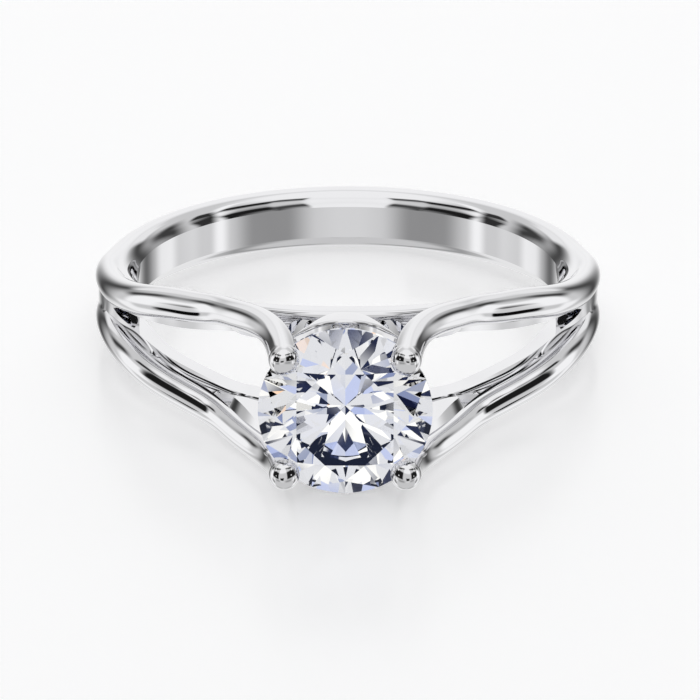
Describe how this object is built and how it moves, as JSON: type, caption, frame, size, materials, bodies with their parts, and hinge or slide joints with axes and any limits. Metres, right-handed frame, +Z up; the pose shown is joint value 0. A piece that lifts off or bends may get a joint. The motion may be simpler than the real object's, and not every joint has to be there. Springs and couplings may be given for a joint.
{
  "type": "split shank ring",
  "caption": "Polished white metal solitaire ring whose band divides at each side into an upper and a lower arm that end as claws on a round brilliant stone.",
  "frame": {"origin": "middle of the finger hole, half way between the upper and the lower finger rail", "axes": "+Z up as the ring lies on its side, -Y towards the stone, +X to the right seen from the stone; the finger hole's axis leans 5.36 degrees from +Z towards +Y, because the ring rests on the back of its band and on its two lower arms"},
  "size_m": [0.0196, 0.0246, 0.0066],
  "materials": {
    "white_gold": "mirror polished, rhodium plated",
    "diamond": "clear, faceted and polished"
  },
  "bodies": {
    "root": {"split_shank": "white_gold", "center_stone": "diamond"}
  },
  "joints": []
}
